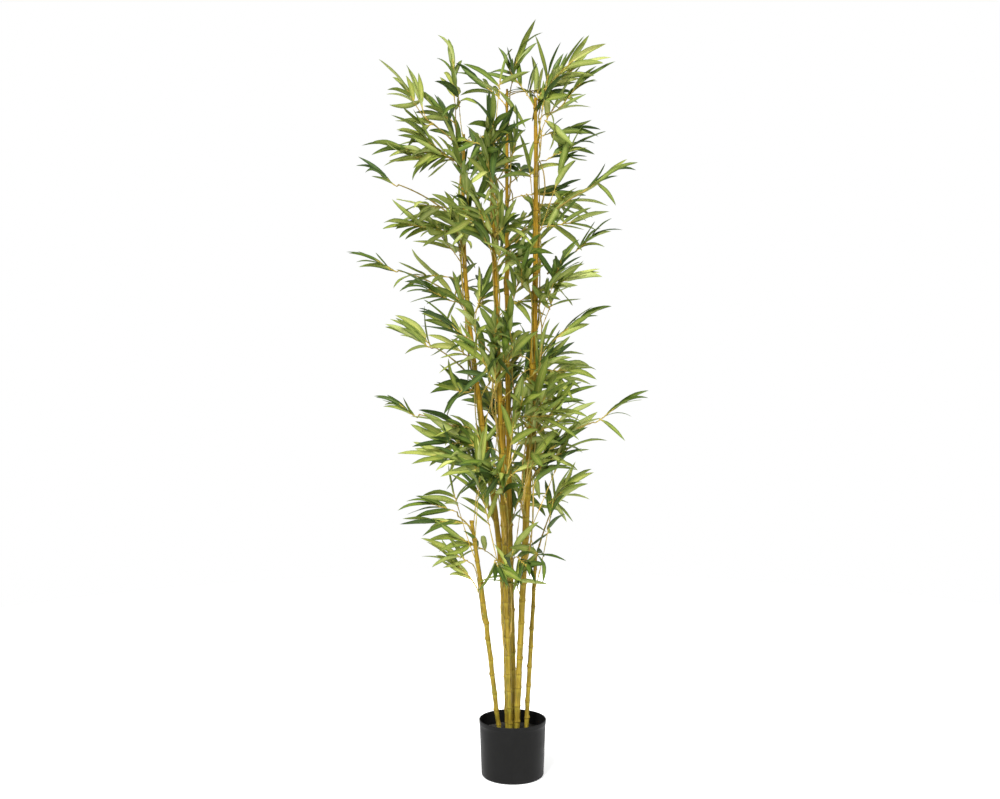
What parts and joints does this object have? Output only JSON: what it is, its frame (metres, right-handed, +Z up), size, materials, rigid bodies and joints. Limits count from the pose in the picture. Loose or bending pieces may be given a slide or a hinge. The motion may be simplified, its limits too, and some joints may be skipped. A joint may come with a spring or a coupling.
{
  "type": "artificial potted bamboo",
  "caption": "Tall artificial bamboo: leaning golden culms with thin side twigs and sprays of narrow green leaves, set in a plain round black pot.",
  "frame": {"origin": "centre of the pot's flat underside", "axes": "+Z up along the plant, -Y towards the front, +X to the right seen from the front"},
  "size_m": [0.7086, 0.5489, 1.8097],
  "materials": {
    "pot_plastic": "moulded black plastic with a soft satin surface",
    "set_filler": "rough dark cement-like filler",
    "culm_skin": "satin ochre cane skin with rings at the joints",
    "twig_wrap": "matt wrapped wire twig, ochre to brown-green",
    "leaf_fabric": "printed leaf fabric, bright yellow-green to deep blue-green"
  },
  "bodies": {
    "root": {"bough_left_low": "twig_wrap", "bough_left_plume": "twig_wrap", "bough_left_sprig_foot": "twig_wrap", "bough_left_sprig_high": "twig_wrap", "bough_left_sprig_low": "twig_wrap", "bough_left_sprig_mid": "twig_wrap", "bough_right_low": "twig_wrap", "bough_right_sprig_foot": "twig_wrap", "bough_right_sprig_high": "twig_wrap", "bough_right_sprig_mid": "twig_wrap", "culm_back": "culm_skin", "culm_centre": "culm_skin", "culm_left_short": "culm_skin", "culm_left_tall": "culm_skin", "culm_middle": "culm_skin", "culm_right_short": "culm_skin", "culm_right_tall": "culm_skin", "filler": "set_filler", "foliage_back_crest": "leaf_fabric", "foliage_back_high": "leaf_fabric", "foliage_back_low": "leaf_fabric", "foliage_back_mid": "leaf_fabric", "foliage_back_skirt": "leaf_fabric", "foliage_back_upper": "leaf_fabric", "foliage_front_crest": "leaf_fabric", "foliage_front_high": "leaf_fabric", "foliage_front_low": "leaf_fabric", "foliage_front_lowest": "leaf_fabric", "foliage_front_mid": "leaf_fabric", "foliage_front_skirt": "leaf_fabric", "foliage_front_upper": "leaf_fabric", "foliage_left_crest": "leaf_fabric", "foliage_left_low": "leaf_fabric", "foliage_left_lowest": "leaf_fabric", "foliage_left_plume": "leaf_fabric", "foliage_left_shoulder": "leaf_fabric", "foliage_left_skirt": "leaf_fabric", "foliage_left_sprig_foot": "leaf_fabric", "foliage_left_sprig_high": "leaf_fabric", "foliage_left_sprig_low": "leaf_fabric", "foliage_left_sprig_mid": "leaf_fabric", "foliage_left_wing_high": "leaf_fabric", "foliage_left_wing_low": "leaf_fabric", "foliage_left_wing_mid": "leaf_fabric", "foliage_right_low": "leaf_fabric", "foliage_right_lowest": "leaf_fabric", "foliage_right_plume": "leaf_fabric", "foliage_right_shoulder": "leaf_fabric", "foliage_right_skirt": "leaf_fabric", "foliage_right_sprig_foot": "leaf_fabric", "foliage_right_sprig_high": "leaf_fabric", "foliage_right_sprig_low": "leaf_fabric", "foliage_right_sprig_mid": "leaf_fabric", "foliage_right_wing_high": "leaf_fabric", "foliage_right_wing_low": "leaf_fabric", "foliage_right_wing_mid": "leaf_fabric", "foliage_top_front": "leaf_fabric", "foliage_top_middle": "leaf_fabric", "foliage_top_right": "leaf_fabric", "pot": "pot_plastic"}
  },
  "joints": []
}
